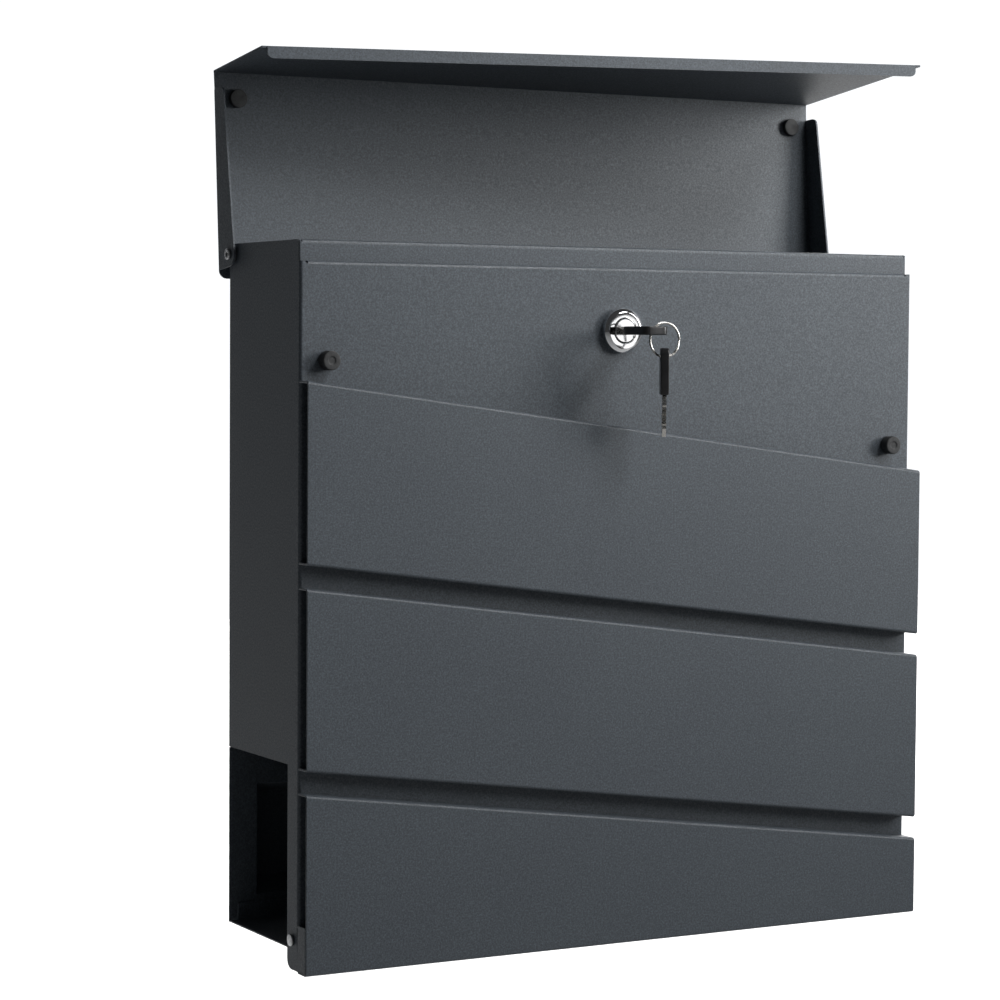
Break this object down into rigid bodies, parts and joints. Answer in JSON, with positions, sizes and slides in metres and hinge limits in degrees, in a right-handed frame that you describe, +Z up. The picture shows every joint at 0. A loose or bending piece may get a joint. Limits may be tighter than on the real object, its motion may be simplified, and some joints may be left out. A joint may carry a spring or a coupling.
{
  "type": "wall mounted mailbox",
  "caption": "Wall mounted steel mailbox with slanting slats, a rear-hinged lid, a locking drop-down door with its keys, and an open newspaper compartment below.",
  "frame": {"origin": "middle of the back panel's upper standing-off face, in the plane that rests on the wall", "axes": "+Y out of the back into the wall, +Z up, so the door looks towards -Y and +X is to the right as one faces the mailbox"},
  "size_m": [0.377, 0.146, 0.4692],
  "materials": {
    "powder_coat": "fine-textured matt powder coat, anthracite grey",
    "zinc": "zinc plated",
    "nylon": "moulded, matt",
    "rubber": "matt black",
    "chrome": "polished",
    "brass": "bright",
    "nickel": "nickel plated",
    "black_plastic": "glossy black moulding"
  },
  "bodies": {
    "box": {"side_wall_left": "powder_coat", "side_wall_right": "powder_coat", "back_panel": "powder_coat", "top_rail": "powder_coat", "letter_shelf": "powder_coat", "newspaper_floor": "powder_coat", "lid_rivet_left": "zinc", "lid_rivet_right": "zinc", "lid_washer_left": "nylon", "lid_washer_right": "nylon", "door_rivet_left": "zinc", "door_rivet_right": "zinc"},
    "lid": {"lid": "powder_coat", "lid_bumper_left": "rubber", "lid_bumper_right": "rubber"},
    "door": {"door_panel": "powder_coat", "slat_bottom": "powder_coat", "slat_middle": "powder_coat", "slat_top": "powder_coat", "hinge_bracket_left": "zinc", "hinge_bracket_right": "zinc", "door_bumper_left": "rubber", "door_bumper_right": "rubber", "lock_housing": "chrome", "lock_nut": "zinc"},
    "lock": {"lock_plug": "chrome", "lock_cam": "zinc", "cam_washer": "zinc", "cam_screw": "brass"},
    "key": {"key_blade": "nickel", "key_head": "black_plastic"},
    "ring": {"key_ring": "nickel"},
    "spare_key": {"spare_key_blade": "nickel", "spare_key_head": "black_plastic"}
  },
  "joints": [
    {"name": "lid_swing", "type": "hinge", "parent": "box", "child": "lid", "pos_m": [0, -0.022, 0.1292], "axis": [1, 0, 0], "range_deg": [0, 97]},
    {"name": "door_swing", "type": "hinge", "parent": "box", "child": "door", "pos_m": [0, -0.0969, -0.2154], "axis": [1, 0, 0], "range_deg": [0, 90]},
    {"name": "lock_turn", "type": "hinge", "parent": "door", "child": "lock", "pos_m": [-0.0015, -0.1035, 0.0911], "axis": [0, 1, 0], "range_deg": [0, 90]},
    {"name": "key_pull", "type": "slide", "parent": "lock", "child": "key", "axis": [0, -1, 0], "range_m": [0, 0.09]},
    {"name": "ring_swing", "type": "hinge", "parent": "key", "child": "ring", "pos_m": [-0.0015, -0.1389, 0.0911], "axis": [0, 1, 0], "range_deg": [-34, 0]},
    {"name": "spare_key_swing", "type": "hinge", "parent": "ring", "child": "spare_key", "pos_m": [0.00575, -0.1389, 0.0863], "axis": [0, 1, 0], "range_deg": [-57, 0]}
  ],
  "couplings": [
    {"joint": "key_pull", "follows": "lid_swing", "m_per_rad": 0.053},
    {"joint": "ring_swing", "follows": "lock_turn", "ratio": -0.37222},
    {"joint": "spare_key_swing", "follows": "lock_turn", "ratio": -0.62778}
  ]
}
